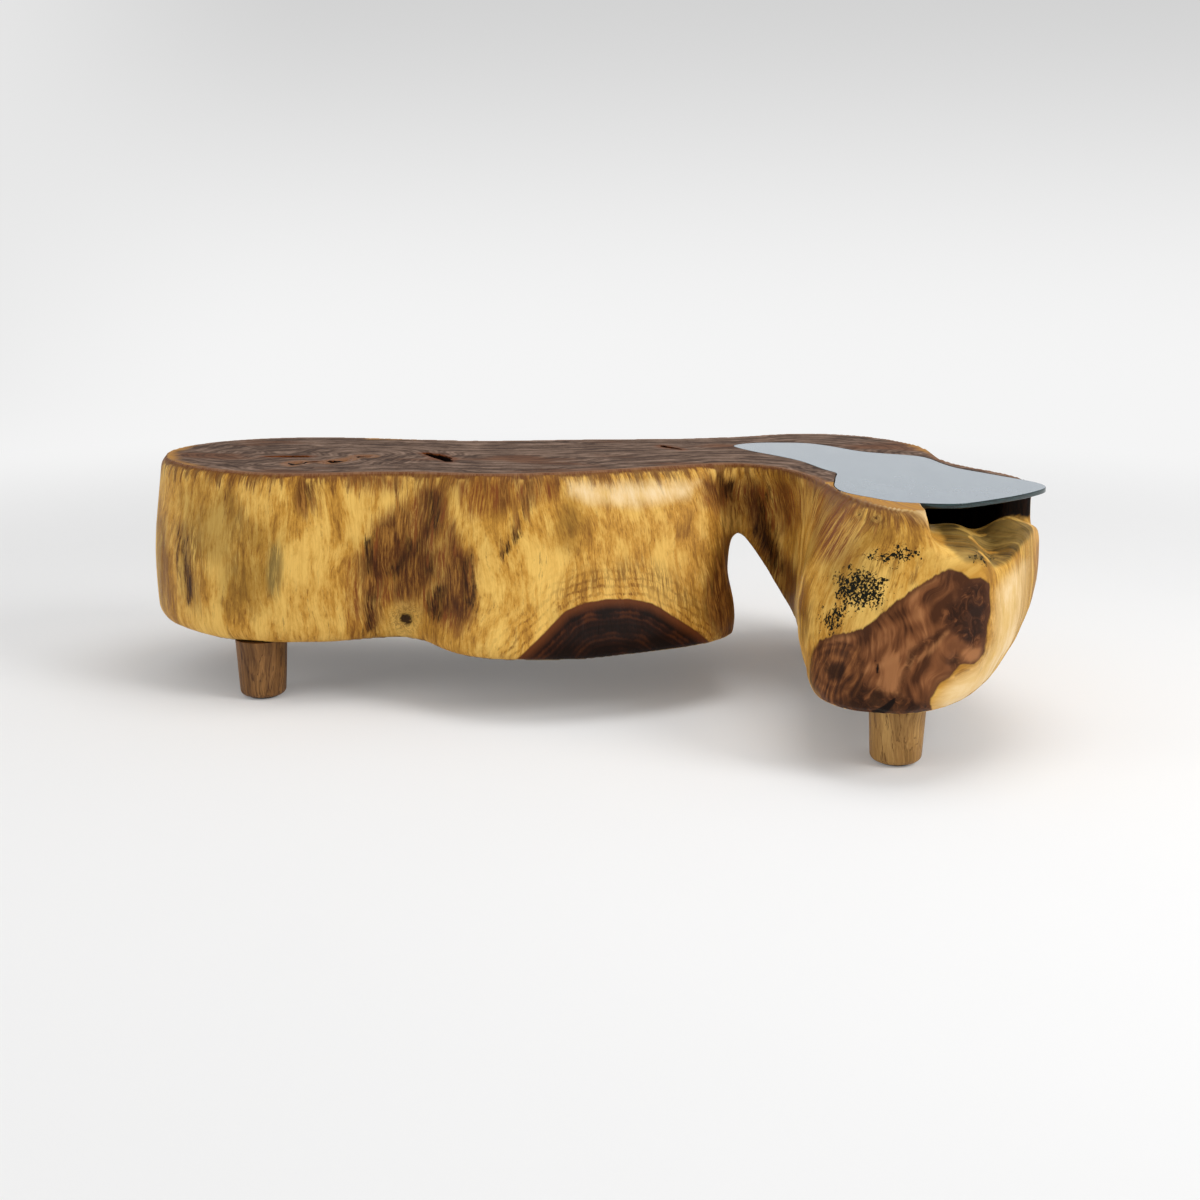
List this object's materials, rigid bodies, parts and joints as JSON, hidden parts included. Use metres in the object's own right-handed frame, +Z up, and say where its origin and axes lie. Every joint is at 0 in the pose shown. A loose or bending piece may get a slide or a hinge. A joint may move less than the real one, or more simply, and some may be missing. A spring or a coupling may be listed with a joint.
{
  "type": "coffee table",
  "caption": "Coffee table carved from a forked tree trunk on short round legs, with a freeform glass pane let into its top over a carved hollow.",
  "frame": {"origin": "on the floor under the middle of the table", "axes": "+X along the trunk from its rounded end to the forked end with the pane, +Y away from the fork's open side, +Z up"},
  "size_m": [1.537, 0.9656, 0.4],
  "materials": {
    "trunk_wood": "satin lacquer over pale sapwood sides and dark heartwood on top",
    "leg_wood": "satin lacquer on turned solid wood",
    "glass": "clear float glass with a ground and polished edge",
    "steel": "bright zinc",
    "felt": "dense felt",
    "bumper_rubber": "clear soft plastic"
  },
  "bodies": {
    "table": {"bumper_01": "bumper_rubber", "bumper_02": "bumper_rubber", "bumper_03": "bumper_rubber", "bumper_04": "bumper_rubber", "bumper_05": "bumper_rubber", "bumper_06": "bumper_rubber", "dowel_screw_front_left": "steel", "dowel_screw_front_right": "steel", "dowel_screw_rear_left": "steel", "dowel_screw_rear_right": "steel", "felt_pad_front_left": "felt", "felt_pad_front_right": "felt", "felt_pad_rear_left": "felt", "felt_pad_rear_right": "felt", "leg_front_left": "leg_wood", "leg_front_right": "leg_wood", "leg_rear_left": "leg_wood", "leg_rear_right": "leg_wood", "trunk": "trunk_wood"},
    "pane": {"glass_top": "glass"}
  },
  "joints": [
    {"name": "glass_lift", "type": "slide", "parent": "table", "child": "pane", "axis": [0, 0, 1], "range_m": [0, 0.15]}
  ]
}
